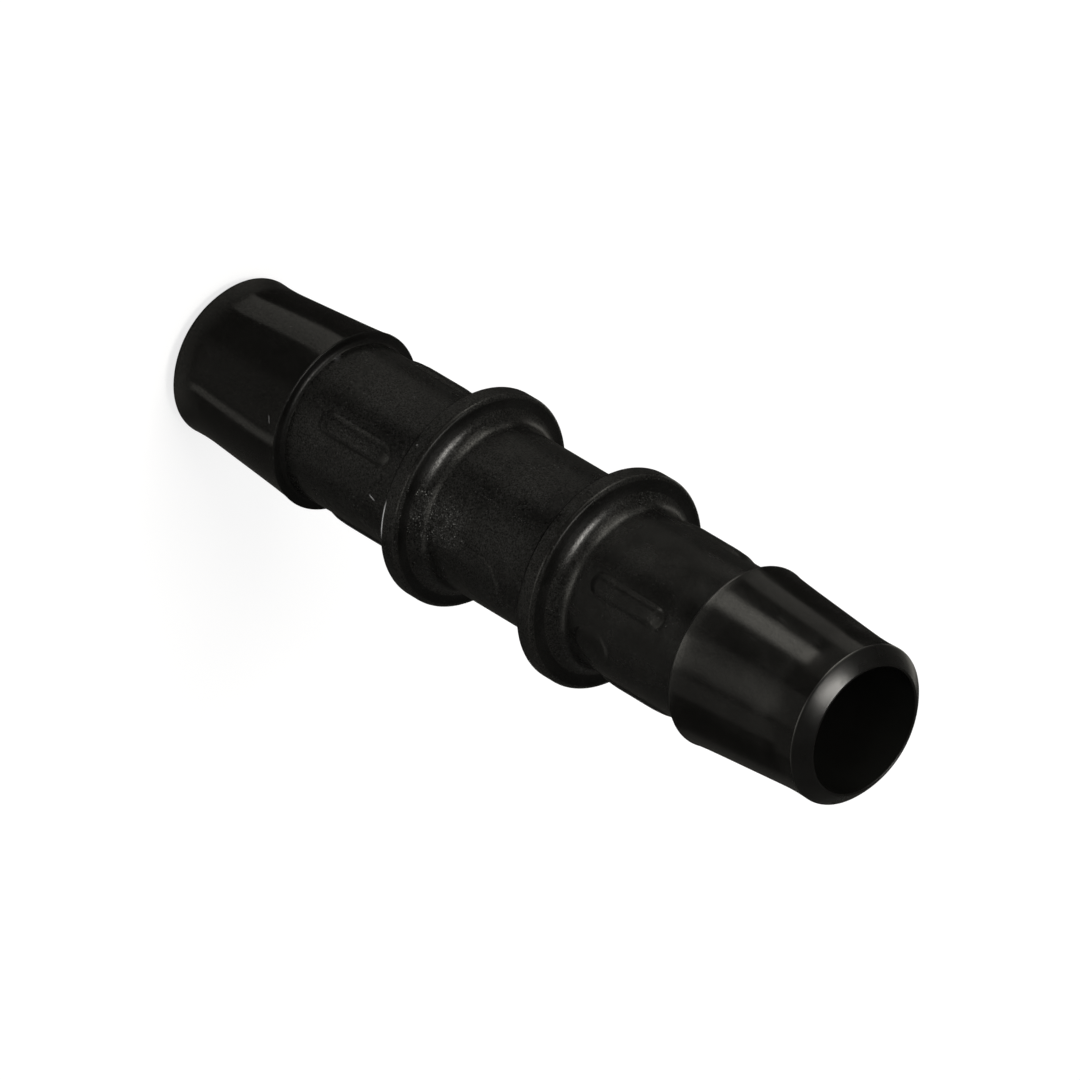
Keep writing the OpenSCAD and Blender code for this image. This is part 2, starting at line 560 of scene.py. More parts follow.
@dataclass
class MouldedConnector:
    """The whole connector: a turned section with ribs, pads and the parting line raised on it."""

    section: TurnedSection = field(default_factory=TurnedSection)
    ribs: GripRibs = field(default_factory=GripRibs)
    pads: EjectorPads = field(default_factory=EjectorPads)
    parting: PartingLine = field(default_factory=PartingLine)
    coarse_deg: float = 2.4
    weld: float = 0.002

    def stations(self) -> list[float]:
        """Chooses the directions of the mesh's columns.

        Returns:
            Angles in degrees from the first rib, rising from start to start + 360.
        """
        radius = self.section.neck_r
        arcs = self.ribs.fine_arcs(radius) + self.pads.fine_arcs(radius) + self.parting.fine_arcs(radius)
        arcs = sorted(
            (low + 360 if low < 0 else low, high + 360 if low < 0 else high, step)
            for low, high, step in arcs
        )
        place = arcs[0][0]
        stops = [stop for low, high, step in arcs for stop in ((low, self.coarse_deg), (high, step))]
        stops.append((place + 360, self.coarse_deg))
        angles: list[float] = []
        for end, step in stops:
            gap = end - place
            if gap > TINY:
                parts = max(1, round(gap / step))
                angles += [place + gap * i / parts for i in range(parts)]
                place = end
        return angles + [place]

    def station_object(self) -> bpy.types.Object:
        """Makes the helper whose points hold the columns' directions.

        Returns:
            The helper, with each direction in radians along X.
        """
        mesh = bpy.data.meshes.new("stations")
        mesh.from_pydata([(math.radians(angle), 0, 0) for angle in self.stations()], [], [])
        return add_object("stations", mesh)

    def section_object(self) -> bpy.types.Object:
        """Makes the section as a closed line.

        Returns:
            The line, whose points carry their finish and their relief.
        """
        neck = self.ribs.fine_places() + self.pads.fine_neck()
        points = self.section.loop(neck, self.pads.fine_middle())
        count = len(points)
        mesh = bpy.data.meshes.new("section")
        edges = [(i, (i + 1) % count) for i in range(count)]
        mesh.from_pydata([(p.radius * MM, 0, p.height * MM) for p in points], edges, [])
        skins = mesh.attributes.new("skin", "FLOAT", "POINT")
        reliefs = mesh.attributes.new("relief", "FLOAT", "POINT")
        for index, point in enumerate(points):
            skins.data[index].value = float(point.skin)
            reliefs.data[index].value = point.relief
        return add_object(NODE + "_moulding", mesh)

    def inputs(self, stations: bpy.types.Object, skins: dict[Skin, bpy.types.Material]) -> dict[str, Value]:
        """Lists what the tree is given, by the names of its inputs.

        Args:
            stations: The helper that holds the columns' directions.
            skins: The material of each finish.

        Returns:
            Values by input name, lengths in metres and angles in radians.
        """
        return {
            "Stations": stations,
            "Half Length": self.section.half_len * MM,
            "Rib Count": self.ribs.count,
            "Rib Straight": (self.ribs.length - self.ribs.width) * MM,
            "Rib Width": self.ribs.width * MM,
            "Rib Height": self.ribs.height * MM,
            "Rib Soft Side": self.ribs.side_soft * MM,
            "Rib Soft End": self.ribs.end_soft * MM,
            "Rib Run Out": self.ribs.run_out * MM,
            "Rib End Share": self.ribs.end_share,
            "Rib Place": self.ribs.place * MM,
            "Neck Pad Radius": self.pads.neck_r * MM,
            "Middle Pad Radius": self.pads.middle_r * MM,
            "Pad Height": self.pads.height * MM,
            "Pad Soft Edge": self.pads.soft * MM,
            "Pad Place": self.pads.place * MM,
            "Pad Direction": math.radians(self.pads.direction),
            "Parting Height": self.parting.height * MM,
            "Parting Width": self.parting.width * MM,
            "Parting Direction": math.radians(self.parting.direction),
            "Weld Distance": self.weld * MM,
            **{skin.label: material for skin, material in skins.items()},
        }

    def relief(
        self, graph: Graph, given: dict[str, bpy.types.NodeSocket], radius: Value, place: Value, angle: Value
    ) -> bpy.types.NodeSocket:
        """Works out how far the outside stands proud of the turned form.

        Args:
            graph: The tree to add to.
            given: The tree's inputs by name.
            radius: Radius of the point in metres.
            place: Distance of the point from the mid-plane in metres.
            angle: Direction of the point in radians.

        Returns:
            The height in metres.
        """
        pitch = graph.math("DIVIDE", math.tau, given["Rib Count"])
        half_pitch = graph.math("MULTIPLY", pitch, 0.5)
        low_pitch = graph.math("MULTIPLY", pitch, -0.5)
        across = graph.math("MULTIPLY", graph.math("WRAP", angle, half_pitch, low_pitch), radius)
        along = graph.math("ABSOLUTE", graph.math("SUBTRACT", place, given["Rib Place"]))
        straight = graph.math("MULTIPLY", given["Rib Straight"], 0.5)
        past = graph.math("MAXIMUM", graph.math("SUBTRACT", along, straight), 0.0)
        half_width = graph.math("MULTIPLY", given["Rib Width"], 0.5)
        reach = graph.hypot(past, across)
        endwise = graph.math("DIVIDE", past, graph.math("MAXIMUM", reach, TINY))
        soft = graph.mix_values(endwise, given["Rib Soft Side"], given["Rib Soft End"])
        tip = graph.math("ADD", straight, half_width)
        run_out = graph.math("SUBTRACT", tip, given["Rib Run Out"])
        share = graph.remap(along, run_out, tip, 1.0, given["Rib End Share"])
        height = graph.math("MULTIPLY", given["Rib Height"], share)
        rib = self.crowned(graph, graph.math("SUBTRACT", half_width, reach), soft, height)
        turn = graph.math("SUBTRACT", angle, given["Pad Direction"])
        aside = graph.math("MULTIPLY", graph.math("WRAP", turn, math.pi, -math.pi), radius)
        offset = graph.math("SUBTRACT", place, given["Pad Place"])
        total = rib
        for run, pad_r in ((offset, given["Neck Pad Radius"]), (place, given["Middle Pad Radius"])):
            gap = graph.math("SUBTRACT", graph.hypot(run, aside), pad_r)
            pad = self.raised(graph, gap, given["Pad Soft Edge"], given["Pad Height"])
            total = graph.math("ADD", total, pad)
        lean = graph.math("SUBTRACT", angle, given["Parting Direction"])
        beside = graph.math("MULTIPLY", graph.math("WRAP", lean, math.pi / 2, -math.pi / 2), radius)
        width = graph.math("MULTIPLY", given["Parting Width"], 0.5)
        ridge = graph.remap(graph.math("ABSOLUTE", beside), width, 0.0, 0.0, given["Parting Height"])
        return graph.math("ADD", total, ridge)

    def raised(self, graph: Graph, gap: Value, soft: Value, height: Value) -> bpy.types.NodeSocket:
        """Height of a raised form from the distance to its outline.

        Args:
            graph: The tree to add to.
            gap: Distance outside the outline, negative inside it.
            soft: Width of the sloping edge.
            height: Full height of the form.

        Returns:
            The height at the point.
        """
        outer = graph.math("MULTIPLY", soft, 0.5)
        inner = graph.math("MULTIPLY", soft, -0.5)
        return graph.remap(gap, outer, inner, 0.0, height)

    def crowned(self, graph: Graph, depth: Value, soft: Value, height: Value) -> bpy.types.NodeSocket:
        """Height of a raised form with a crisp foot and a round shoulder.

        Args:
            graph: The tree to add to.
            depth: Distance inside the outline, negative outside it.
            soft: Width of the round shoulder.
            height: Full height of the form.

        Returns:
            The height at the point.
        """
        share = graph.remap(depth, 0.0, soft, 0.0, 1.0, smooth=False)
        left = graph.math("SUBTRACT", 2.0, share)
        return graph.math("MULTIPLY", graph.math("MULTIPLY", share, left), height)

    def build_tree(self, values: dict[str, Value]) -> bpy.types.NodeTree:
        """Builds the tree that turns the section and raises the relief on it.

        Args:
            values: The tree's inputs, whose types give the sockets' types.

        Returns:
            The node tree.
        """
        tree = bpy.data.node_groups.new("turned moulding", "GeometryNodeTree")
        tree.interface.new_socket("Section", in_out="INPUT", socket_type="NodeSocketGeometry")
        for name, value in values.items():
            special = [label for kind, label in SOCKETS.items() if isinstance(value, kind)]
            socket = special[0] if special else "NodeSocketFloat"
            tree.interface.new_socket(name, in_out="INPUT", socket_type=socket)
        tree.interface.new_socket("Moulding", in_out="OUTPUT", socket_type="NodeSocketGeometry")
        graph = Graph(tree)

        def count(geometry: Value) -> bpy.types.NodeSocket:
            """Counts a mesh's points."""
            size = graph.node("GeometryNodeAttributeDomainSize", {"Geometry": geometry}, component="MESH")
            return size.outputs["Point Count"]

        given = graph.add("NodeGroupInput").outputs
        section = given["Section"]
        stations = graph.node("GeometryNodeObjectInfo", {"Object": given["Stations"]}).outputs["Geometry"]
        rows, columns = count(section), count(stations)
        size = {"Vertices X": graph.math("ADD", rows, 1.0), "Vertices Y": columns}
        sheet = graph.node("GeometryNodeMeshGrid", size).outputs["Mesh"]
        index = graph.add("GeometryNodeInputIndex").outputs[0]
        middle = graph.math("ADD", index, 0.5)
        row = graph.math("MODULO", graph.math("FLOOR", graph.math("DIVIDE", middle, columns)), rows)
        column = graph.math("MODULO", index, columns)
        strips = graph.math("SUBTRACT", columns, 1.0)
        face_row = graph.math("FLOOR", graph.math("DIVIDE", middle, strips))
        position = graph.add("GeometryNodeInputPosition").outputs[0]

        def sample(source: Value, field_value: Value, at: Value, kind: str) -> bpy.types.NodeSocket:
            """Reads a point's value by its number."""
            inputs = {"Geometry": source, "Value": field_value, "Index": at}
            return graph.node("GeometryNodeSampleIndex", inputs, data_type=kind, domain="POINT").outputs[0]

        def stored(name: str) -> bpy.types.NodeSocket:
            """Reads a named value of the section."""
            return graph.node("GeometryNodeInputNamedAttribute", {"Name": name}, data_type="FLOAT").outputs[0]

        point = sample(section, position, row, "FLOAT_VECTOR")
        spot = graph.node("ShaderNodeSeparateXYZ", {0: point}).outputs
        station = sample(stations, position, column, "FLOAT_VECTOR")
        way = graph.node("ShaderNodeSeparateXYZ", {0: station}).outputs[0]
        place = graph.math("ABSOLUTE", graph.math("SUBTRACT", spot[2], given["Half Length"]))
        height = self.relief(graph, given, spot[0], place, way)
        share = sample(section, stored("relief"), row, "FLOAT")
        radius = graph.math("MULTIPLY_ADD", height, share, spot[0])
        x = graph.math("MULTIPLY", radius, graph.math("COSINE", way))
        y = graph.math("MULTIPLY", radius, graph.math("SINE", way))
        target = graph.node("ShaderNodeCombineXYZ", {0: x, 1: y, 2: spot[2]}).outputs[0]
        skin = sample(section, stored("skin"), face_row, "FLOAT")
        dressed = graph.node(
            "GeometryNodeStoreNamedAttribute",
            {"Geometry": sheet, "Name": "skin", "Value": skin},
            data_type="FLOAT",
            domain="FACE",
        ).outputs[0]
        turned = graph.node("GeometryNodeSetPosition", {"Geometry": dressed, "Position": target}).outputs[0]
        weld = {"Geometry": turned, "Distance": given["Weld Distance"]}
        closed = graph.node("GeometryNodeMergeByDistance", weld).outputs[0]
        smooth = graph.node("GeometryNodeSetShadeSmooth", {"Geometry": closed}).outputs[0]
        shape = graph.node("GeometryNodeRealizeInstances", {"Geometry": smooth}).outputs[0]
        for number in Skin:
            test = {"A": stored("skin"), "B": float(number), "Epsilon": 0.1}
            chosen = graph.node("FunctionNodeCompare", test, data_type="FLOAT", operation="EQUAL").outputs[0]
            coat = {"Geometry": shape, "Selection": chosen, "Material": given[number.label]}
            shape = graph.node("GeometryNodeSetMaterial", coat).outputs[0]
        graph.node("NodeGroupOutput", {0: shape})
        return tree

    def build(self, skins: dict[Skin, bpy.types.Material]) -> bpy.types.Object:
        """Builds the moulding and turns the tree's result into a plain mesh.

        Args:
            skins: The material of each finish.

        Returns:
            The finished piece.
        """
        stations = self.station_object()
        piece = self.section_object()
        values = self.inputs(stations, skins)
        tree = self.build_tree(values)
        modifier = piece.modifiers.new("moulding", "NODES")
        modifier.node_group = tree
        for item in tree.interface.items_tree:
            if item.in_out == "INPUT" and item.name in values:
                modifier[item.identifier] = values[item.name]
        graph = bpy.context.evaluated_depsgraph_get()
        graph.update()
        mesh = bpy.data.meshes.new_from_object(piece.evaluated_get(graph), depsgraph=graph)
        piece.modifiers.remove(modifier)
        piece.data = mesh
        mesh.name = piece.name
        bpy.data.objects.remove(stations)
        face_outwards(mesh)
        return piece


def face_outwards(mesh: bpy.types.Mesh) -> None:
    """Turns a closed mesh's faces outwards where its volume comes out negative.

    Args:
        mesh: The closed mesh.
    """
    work = bmesh.new()
    work.from_mesh(mesh)
    if work.calc_volume(signed=True) < 0:
        bmesh.ops.reverse_faces(work, faces=work.faces)
        work.to_mesh(mesh)
    loose = sum(1 for edge in work.edges if not edge.is_manifold)
    volume = work.calc_volume() / MM**3
    log.info("%s: %d faces, %d open edges, %.1f mm3", mesh.name, len(work.faces), loose, volume)
    work.free()


@dataclass
class EffectGroup:
    """Shader node groups that more than one finish uses; each gives only values and masks.

    A range is of a noise's own level, except for the stretch of height in mm over which the grain calms down.
    """

    peak_range: tuple[float, float] = (0.32, 0.68)
    cloud_range: tuple[float, float] = (0.3, 0.7)
    calm_range: tuple[float, float] = (52.0, 57.0)
    speck_range: tuple[float, float] = (0.5, 0.1)
    flock_size: float = 420.0
    flock_range: tuple[float, float] = (0.42, 0.68)
    flock_gain: tuple[float, float] = (0.25, 3.0)
    crowd_gain: float = 0.6
    glint_share: float = 0.18
    rub_size: tuple[float, float, float] = (900.0, 900.0, 160.0)
    rub_range: tuple[float, float] = (0.62, 0.72)
    stroke_core: float = 0.2

    def __post_init__(self) -> None:
        """Builds the groups once."""
        self.grain = self.make_grain()
        self.marks = self.make_marks()
        self.stroke = self.make_stroke()

    def start(self, name: str, inputs: dict[str, float], outputs: Sequence[str]) -> tuple[Graph, dict]:
        """Makes an empty group with its sockets.

        Args:
            name: The group's name.
            inputs: Its number inputs with their first values.
            outputs: Its outputs, all plain values.

        Returns:
            The graph to fill, and the group's inputs by name with "Place" for the coordinates.
        """
        tree = bpy.data.node_groups.new(name, "ShaderNodeTree")
        tree.interface.new_socket("Place", in_out="INPUT", socket_type="NodeSocketVector")
        for label, value in inputs.items():
            socket = tree.interface.new_socket(label, in_out="INPUT", socket_type="NodeSocketFloat")
            socket.default_value = value
        for label in outputs:
            tree.interface.new_socket(label, in_out="OUTPUT", socket_type="NodeSocketFloat")
        graph = Graph(tree)
        return graph, graph.add("NodeGroupInput").outputs

    def noise(self, graph: Graph, place: Value, size: Value, **inputs: Value) -> bpy.types.NodeSocket:
        """Adds a noise pattern of a size, with any other of its inputs, and gives its level."""
        return graph.node("ShaderNodeTexNoise", {"Vector": place, "Scale": size, **inputs}).outputs[0]

    def make_grain(self) -> bpy.types.NodeTree:
        """Makes the fine grain that the mould's wall leaves.

        Returns:
            The group, which gives a height, its pits and peaks, a slow cloud, and how calm the grain is.
        """
        sizes = {"Size": 4000.0, "Cloud Size": 260.0, "Calm Share": 0.5}
        graph, given = self.start("mould grain", sizes, ("Height", "Peaks", "Cloud", "Calm"))
        fine = self.noise(graph, given["Place"], given["Size"], Detail=2.0, Roughness=0.6)
        peaks = graph.remap(fine, *self.peak_range, 0.0, 1.0, smooth=False)
        slow = self.noise(graph, given["Place"], given["Cloud Size"], Detail=4.0)
        cloud = graph.remap(slow, *self.cloud_range, 0.0, 1.0)
        height = graph.node("ShaderNodeSeparateXYZ", {0: given["Place"]}).outputs[2]
        low, high = self.calm_range
        calm = graph.remap(height, low * MM, high * MM, 0.0, given["Calm Share"])
        left = graph.math("SUBTRACT", 1.0, calm)
        fine = graph.math("MULTIPLY", fine, left)
        peaks = graph.math("MULTIPLY_ADD", graph.math("SUBTRACT", peaks, 0.5), left, 0.5)
        graph.node("NodeGroupOutput", {"Height": fine, "Peaks": peaks, "Cloud": cloud, "Calm": calm})
        return graph.tree

    def make_marks(self) -> bpy.types.NodeTree:
        """Makes the fine light marks on used plastic, with a mask that crowds them on a patch.

        Returns:
            The group, which gives specks of unlike strength, bright glints, and short rubs from handling.
        """
        sizes = {"Speck Size": 6000.0, "Speck Share": 0.05, "Crowd": 0.0}
        graph, given = self.start("handling marks", sizes, ("Specks", "Glints", "Rubs"))
        place, crowd = given["Place"], given["Crowd"]
        cell = {"Vector": place, "Scale": given["Speck Size"], "Randomness": 1.0}
        cells = graph.node("ShaderNodeTexVoronoi", cell).outputs
        near = graph.remap(cells["Distance"], *self.speck_range, 0.0, 1.0)
        draw = graph.node("ShaderNodeSeparateColor", {0: cells["Color"]}).outputs
        flock = self.noise(graph, place, self.flock_size, Detail=2.0)
        gain = graph.remap(flock, *self.flock_range, *self.flock_gain)
        share = graph.math("MULTIPLY", given["Speck Share"], gain)
        chosen = graph.math("LESS_THAN", draw[0], graph.math("MULTIPLY_ADD", crowd, self.crowd_gain, share))
        strength = graph.math("MULTIPLY_ADD", draw[1], draw[1], crowd)
        specks = graph.math("MULTIPLY", graph.math("MULTIPLY", near, chosen), strength)
        bright = graph.math("LESS_THAN", draw[2], graph.math("MULTIPLY", crowd, self.glint_share))
        glints = graph.math("MULTIPLY", graph.math("MULTIPLY", near, bright), draw[1])
        stretch = graph.node("ShaderNodeMapping", {"Vector": place, "Scale": self.rub_size}).outputs[0]
        rubs = graph.remap(self.noise(graph, stretch, 1.0, Detail=2.0), *self.rub_range, 0.0, 1.0)
        graph.node("NodeGroupOutput", {"Specks": specks, "Glints": glints, "Rubs": rubs})
        return graph.tree

    def make_stroke(self) -> bpy.types.NodeTree:
        """Makes one soft-ended stroke on the outside, such as a scratch, a painted highlight or a painted
        shade line.

        Returns:
            The group, which gives a mask that is 1 at the stroke's middle.
        """
        sizes = {"Height": 0.0, "Turn": 0.0, "Length": 0.001, "Width": 0.0002, "Slant": 0.0, "Repeat": 1.0}
        graph, given = self.start("handling stroke", sizes, ("Mask",))
        x, y, z = graph.node("ShaderNodeSeparateXYZ", {0: given["Place"]}).outputs
        lean = graph.math("SUBTRACT", graph.math("ARCTAN2", y, x), given["Turn"])
        pitch = graph.math("DIVIDE", math.pi, given["Repeat"])
        lean = graph.math("WRAP", lean, pitch, graph.math("MULTIPLY", pitch, -1.0))
        aside = graph.math("MULTIPLY", lean, graph.hypot(x, y))
        rise = graph.math("SUBTRACT", z, given["Height"])
        cosine, sine = graph.math("COSINE", given["Slant"]), graph.math("SINE", given["Slant"])
        along = graph.math("MULTIPLY_ADD", rise, cosine, graph.math("MULTIPLY", aside, sine))
        drop = graph.math("MULTIPLY", rise, sine)
        across = graph.math("SUBTRACT", graph.math("MULTIPLY", aside, cosine), drop)
        masks = []
        for run, size in ((along, given["Length"]), (across, given["Width"])):
            half = graph.math("MULTIPLY", size, 0.5)
            core = graph.math("MULTIPLY", size, self.stroke_core)
            masks.append(graph.remap(graph.math("ABSOLUTE", run), half, core, 0.0, 1.0))
        graph.node("NodeGroupOutput", {"Mask": graph.math("MULTIPLY", *masks)})
        return graph.tree


@dataclass(frozen=True)
class Stroke:
    """A small mark, with its place and sizes in mm and its directions in degrees: a scratch or smudge from
    handling, or a painted highlight or painted shade line.

    Its tone is the colour of a painted mark, or the share of gloss that a dulled one keeps.
    """

    height: float
    turn_deg: float
    length: float
    width: float
    slant_deg: float = 0.0
    tone: float = 0.0
    repeat: int = 1

    def mask(self, graph: Graph, tree: bpy.types.NodeTree, place: Value) -> bpy.types.NodeSocket:
        """Places the shared stroke group with this mark's sizes.

        Args:
            graph: The material's graph.
            tree: The shared group.
            place: The coordinates.

        Returns:
            The mark's mask.
        """
        values = {
            "Place": place,
            "Height": self.height * MM,
            "Turn": math.radians(self.turn_deg),
            "Length": self.length * MM,
            "Width": self.width * MM,
            "Slant": math.radians(self.slant_deg),
            "Repeat": self.repeat,
        }
        return graph.group(tree, values)["Mask"]


@dataclass(frozen=True)
class PlasticFinish:
    """One finish of the black plastic, from its tone and gloss to its grain.

    Its grain changes tone, gloss and height. Where it is calm, specks are fewer and the surface is smoother.
    """

    name: str
    tone: tuple[float, float, float] = (0.0026, 0.0025, 0.0022)
    worn_tone: tuple[float, float, float] = (0.0052, 0.005, 0.0044)
    speck_tone: tuple[float, float, float] = (0.06, 0.06, 0.057)
    glint_tone: tuple[float, float, float] = (0.26, 0.26, 0.245)
    roughness: float = 0.3
    roughness_swing: float = 0.05
    grain_size: float = 8000.0
    grain_height: float = 0.004
    grain_tone: float = 0.5
    grain_gloss: float = 0.3
    gloss: float = 0.5
    ior: float = 1.5
    rub_dulling: float = 0.06
    specks: float = 0.1
    calm_specks: float = 1.8
    calm_polish: float = 0.0
    strokes: tuple[Stroke, ...] = ()
    dulled: tuple[Stroke, ...] = ()
    crowd: Stroke | None = None

    def make(self, effects: EffectGroup) -> bpy.types.Material:
        """Builds the material.

        Args:
            effects: The shared groups for grain and marks.

        Returns:
            The material, ready to assign.
        """
        material, graph = start_material(self.name)
        place = graph.add("ShaderNodeTexCoord").outputs["Object"]
        grain = graph.group(effects.grain, {"Place": place, "Size": self.grain_size})
        crowd = self.crowd.mask(graph, effects.stroke, place) if self.crowd else 0.0
        few = graph.math("MULTIPLY_ADD", grain["Calm"], -self.calm_specks * self.specks, self.specks)
        marks = graph.group(effects.marks, {"Place": place, "Speck Share": few, "Crowd": crowd})
        worn = graph.mix(self.grain_tone, grain["Cloud"], grain["Peaks"])
        base = graph.tint(worn, (*self.tone, 1.0), (*self.worn_tone, 1.0))
        base = graph.tint(marks["Specks"], base, (*self.speck_tone, 1.0))
        base = graph.tint(marks["Glints"], base, (*self.glint_tone, 1.0))
        # Strokes paint scratches and smudges, and also painted highlights and painted shade, into the base
        # colour
        for stroke in self.strokes:
            base = graph.tint(stroke.mask(graph, effects.stroke, place), base, (*(stroke.tone,) * 3, 1.0))
        low, high = self.roughness - self.roughness_swing, self.roughness + self.roughness_swing
        rough = graph.mix(grain["Cloud"], low, high)
        rough = graph.math("MULTIPLY_ADD", marks["Rubs"], self.rub_dulling, rough)
        rough = graph.math("MULTIPLY_ADD", grain["Calm"], -self.calm_polish, rough)
        relief = {"Strength": 1.0, "Distance": self.grain_height * MM, "Height": grain["Height"]}
        looks = {
            "Base Color": base,
            "Roughness": rough,
            "Normal": graph.node("ShaderNodeBump", relief).outputs[0],
            "IOR": self.ior,
            "Specular IOR Level": self.gloss,
        }
        shader = graph.node("ShaderNodeBsdfPrincipled", looks)
        if self.grain_gloss > 0:
            gloss = graph.mix(grain["Peaks"], self.gloss - self.grain_gloss, self.gloss + self.grain_gloss)
            # Dulled strokes lower the gloss, as painted shade
            for stroke in self.dulled:
                gloss = graph.mix(stroke.mask(graph, effects.stroke, place), gloss, self.gloss * stroke.tone)
            graph.feed(shader.inputs["Specular IOR Level"], gloss)
        graph.node("ShaderNodeOutputMaterial", {"Surface": shader.outputs[0]})
        return material


@dataclass(frozen=True)
class PhotoCamera:
    """The camera that took the photograph, as its fit to the outline gives it."""

    direction_deg: float = 83.0
    elevation_deg: float = 38.016
    axis_dip_deg: float = 30.829
    distance_mm: float = 1518.63
    aside_mm: float = 0.0930
    lift_mm: float = 0.2368
    lens_mm: float = 556.83
    sensor_mm: float = 36.0
    aim_mm: float = 42.75
    clip_m: tuple[float, float] = (0.1, 20.0)

    def axes(self) -> tuple[Vector, Vector, Vector]:
        """Works out how the camera is turned.

        Returns:
            Its right, up and back, in the shared frame.
        """
        back = unit_vector(math.radians(self.direction_deg), math.radians(self.elevation_deg))
        axis = Vector((0, 0, 1))
        along = (axis - back * axis.dot(back)).normalized()
        across = back.cross(along)
        dip = math.radians(self.axis_dip_deg)
        right = along * math.cos(dip) + across * math.sin(dip)
        up = across * math.cos(dip) - along * math.sin(dip)
        return right, up, back

    def place(self) -> Vector:
        """Works out where the camera stands.

        Returns:
            Its place in mm.
        """
        right, up, back = self.axes()
        aim = Vector((0, 0, self.aim_mm))
        return aim - right * self.aside_mm - up * self.lift_mm + back * self.distance_mm

    def build(self) -> bpy.types.Object:
        """Makes the camera, which the scene then looks through.

        Returns:
            The camera.
        """
        right, up, back = self.axes()
        data = bpy.data.cameras.new("photo_camera")
        data.lens, data.sensor_width = self.lens_mm, self.sensor_mm
        data.clip_start, data.clip_end = self.clip_m
        made = add_object("photo_camera", data)
        turn = Matrix((right, up, back)).transposed().to_4x4()
        made.matrix_world = Matrix.Translation(self.place() * MM) @ turn
        bpy.context.scene.camera = made
        return made


@dataclass(frozen=True)
class SoftLamp:
    """A soft rectangular lamp, aimed at the connector's middle."""

    name: str
    azimuth_deg: float
    elevation_deg: float
    distance_mm: float
    width_mm: float
    height_mm: float
    radiance: float
    aim_mm: float = 45.0

    def build(self) -> bpy.types.Object:
        """Makes the lamp and keeps it out of the camera's sight.

        Returns:
            The lamp.
        """
        way = unit_vector(math.radians(self.azimuth_deg + TURN), math.radians(self.elevation_deg))
        data = bpy.data.lights.new(self.name, "AREA")
        data.shape = "RECTANGLE"
        data.size, data.size_y = self.width_mm * MM, self.height_mm * MM
        data.energy = self.radiance * math.pi * data.size * data.size_y
        data.color = LAMP_TINT
        made = add_object(self.name, data)
        made.location = (Vector((0, 0, self.aim_mm)) + way * self.distance_mm) * MM
        made.rotation_euler = way.to_track_quat("Z", "Y").to_euler()
        made.visible_camera = False
        return made


def ease(share: float) -> float:
    """S-curve from 0 to 1 over a share from 0 to 1."""
    share = min(max(share, 0.0), 1.0)
    return share * share * (3 - 2 * share)


@dataclass(frozen=True)
class SoftSpan:
    """A span of directions round the axis whose two sides fade out softly."""

    start_deg: float
    end_deg: float
    soft_deg: float

    def directions(self, step_deg: float) -> list[float]:
        """Divides the span evenly, from one faded-out side to the other.

        Args:
            step_deg: The longest step.

        Returns:
            The directions in degrees.
        """
        low, high = self.start_deg - self.soft_deg / 2, self.end_deg + self.soft_deg / 2
        steps = max(2, math.ceil((high - low) / step_deg))
        return [low + (high - low) * i / steps for i in range(steps + 1)]

    def cover(self, direction_deg: float) -> float:
        """Finds how much of a card shows in a direction.

        Args:
            direction_deg: The direction round the axis.

        Returns:
            The share, from 0 to 1.
        """
        if self.soft_deg == 0:
            return 1.0
        rise = ease((direction_deg - self.start_deg) / self.soft_deg + 0.5)
        fall = ease((self.end_deg - direction_deg) / self.soft_deg + 0.5)
        return rise * fall


@dataclass
class Sheet:
    """A card's mesh in the making: corners in rows of equal length, with tone and cover at each."""

    columns: int
    places: list[tuple[float, float, float]] = field(default_factory=list)
    tones: list[float] = field(default_factory=list)
    covers: list[float] = field(default_factory=list)

    def add(self, place: Sequence[float], tone: float, cover: float) -> None:
        """Adds the next corner.

        Args:
            place: Where it is, in mm.
            tone: How bright the card is there.
            cover: How much of the card shows there, from 0 to 1.
        """
        self.places.append(tuple(part * MM for part in place))
        self.tones.append(tone)
        self.covers.append(cover)

    def mesh(self, name: str) -> bpy.types.Mesh:
        """Makes the mesh, which carries tone and cover as attributes.

        Args:
            name: The mesh's name.

        Returns:
            The mesh.
        """
        faces = []
        for row in range(len(self.places) // self.columns - 1):
            for column in range(self.columns - 1):
                corner = row * self.columns + column
                faces.append((corner, corner + 1, corner + self.columns + 1, corner + self.columns))
        made = bpy.data.meshes.new(name)
        made.from_pydata(self.places, [], faces)
        for label, values in (("tone", self.tones), ("cover", self.covers)):
            made.attributes.new(label, "FLOAT", "POINT").data.foreach_set("value", values)
        return made


@dataclass(frozen=True)
class RoundCard:
    """A card bent round the axis, which only reflections see.

    Each edge is a radius and a height in mm with the tone there, so that the card lies flat, stands or leans.
    """

    edges: tuple[Edge, Edge]
    start_deg: float
    end_deg: float
    soft_deg: float = 0.0
    step_deg: float = 4.0

    def sheet(self, index: int) -> Sheet:
        """Works out the card's corners.

        Args:
            index: Its number, by which it lies a little higher than the ones before.

        Returns:
            The sheet to make the mesh from.
        """
        span = SoftSpan(self.start_deg, self.end_deg, self.soft_deg)
        directions = span.directions(self.step_deg)
        made = Sheet(len(directions))
        for radius, height, tone in self.edges:
            for direction in directions:
                turn = math.radians(TURN + direction)
                place = (radius * math.cos(turn), radius * math.sin(turn), height + index * CARD_STEP)
                made.add(place, tone, span.cover(direction))
        return made


class Wall(Enum):
    """The outside walls that mirror the floor, as (first height, last height, radius, lean in degrees)."""

    LOWER_BARB = (3.5, 16.3, 8.4, -4.56)
    BODY = (16.5, 69.0, 7.95, 0.0)
    UPPER_BARB = (69.2, 82.0, 8.4, 4.56)


